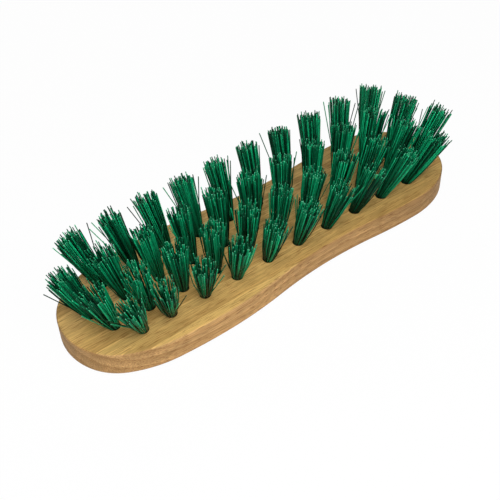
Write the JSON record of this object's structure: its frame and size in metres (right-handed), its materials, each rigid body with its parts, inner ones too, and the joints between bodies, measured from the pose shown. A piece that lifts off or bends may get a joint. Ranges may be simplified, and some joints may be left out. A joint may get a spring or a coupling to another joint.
{
  "type": "scrub brush",
  "caption": "Waisted wooden hand brush: rows of stiff green bristle tufts, stapled into drilled holes, fan out from its flat face to scrub floors, steps and pots.",
  "frame": {"origin": "middle of the block's flat back", "axes": "+X along the block, +Y across it towards the back row of tufts, +Z out of the tufted face"},
  "size_m": [0.2102, 0.0641, 0.0426],
  "materials": {
    "wood": "planed and sanded bare hardwood, grain along the block",
    "bristle": "deep green extruded filament with a soft sheen",
    "staple_wire": "bright drawn wire"
  },
  "bodies": {
    "root": {"back_middle_tuft_01": "bristle", "back_middle_tuft_02": "bristle", "back_middle_tuft_03": "bristle", "back_middle_tuft_04": "bristle", "back_middle_tuft_05": "bristle", "back_middle_tuft_06": "bristle", "back_middle_tuft_07": "bristle", "back_middle_tuft_08": "bristle", "back_middle_tuft_09": "bristle", "back_middle_tuft_10": "bristle", "back_middle_tuft_11": "bristle", "back_tuft_01": "bristle", "back_tuft_02": "bristle", "back_tuft_03": "bristle", "back_tuft_04": "bristle", "back_tuft_05": "bristle", "back_tuft_06": "bristle", "back_tuft_07": "bristle", "back_tuft_08": "bristle", "back_tuft_09": "bristle", "back_tuft_10": "bristle", "front_middle_tuft_01": "bristle", "front_middle_tuft_02": "bristle", "front_middle_tuft_03": "bristle", "front_middle_tuft_04": "bristle", "front_middle_tuft_05": "bristle", "front_middle_tuft_06": "bristle", "front_middle_tuft_07": "bristle", "front_middle_tuft_08": "bristle", "front_middle_tuft_09": "bristle", "front_middle_tuft_10": "bristle", "front_middle_tuft_11": "bristle", "front_tuft_01": "bristle", "front_tuft_02": "bristle", "front_tuft_03": "bristle", "front_tuft_04": "bristle", "front_tuft_05": "bristle", "front_tuft_06": "bristle", "front_tuft_07": "bristle", "front_tuft_08": "bristle", "front_tuft_09": "bristle", "front_tuft_10": "bristle", "tuft_staples": "staple_wire", "wooden_block": "wood"}
  },
  "joints": []
}
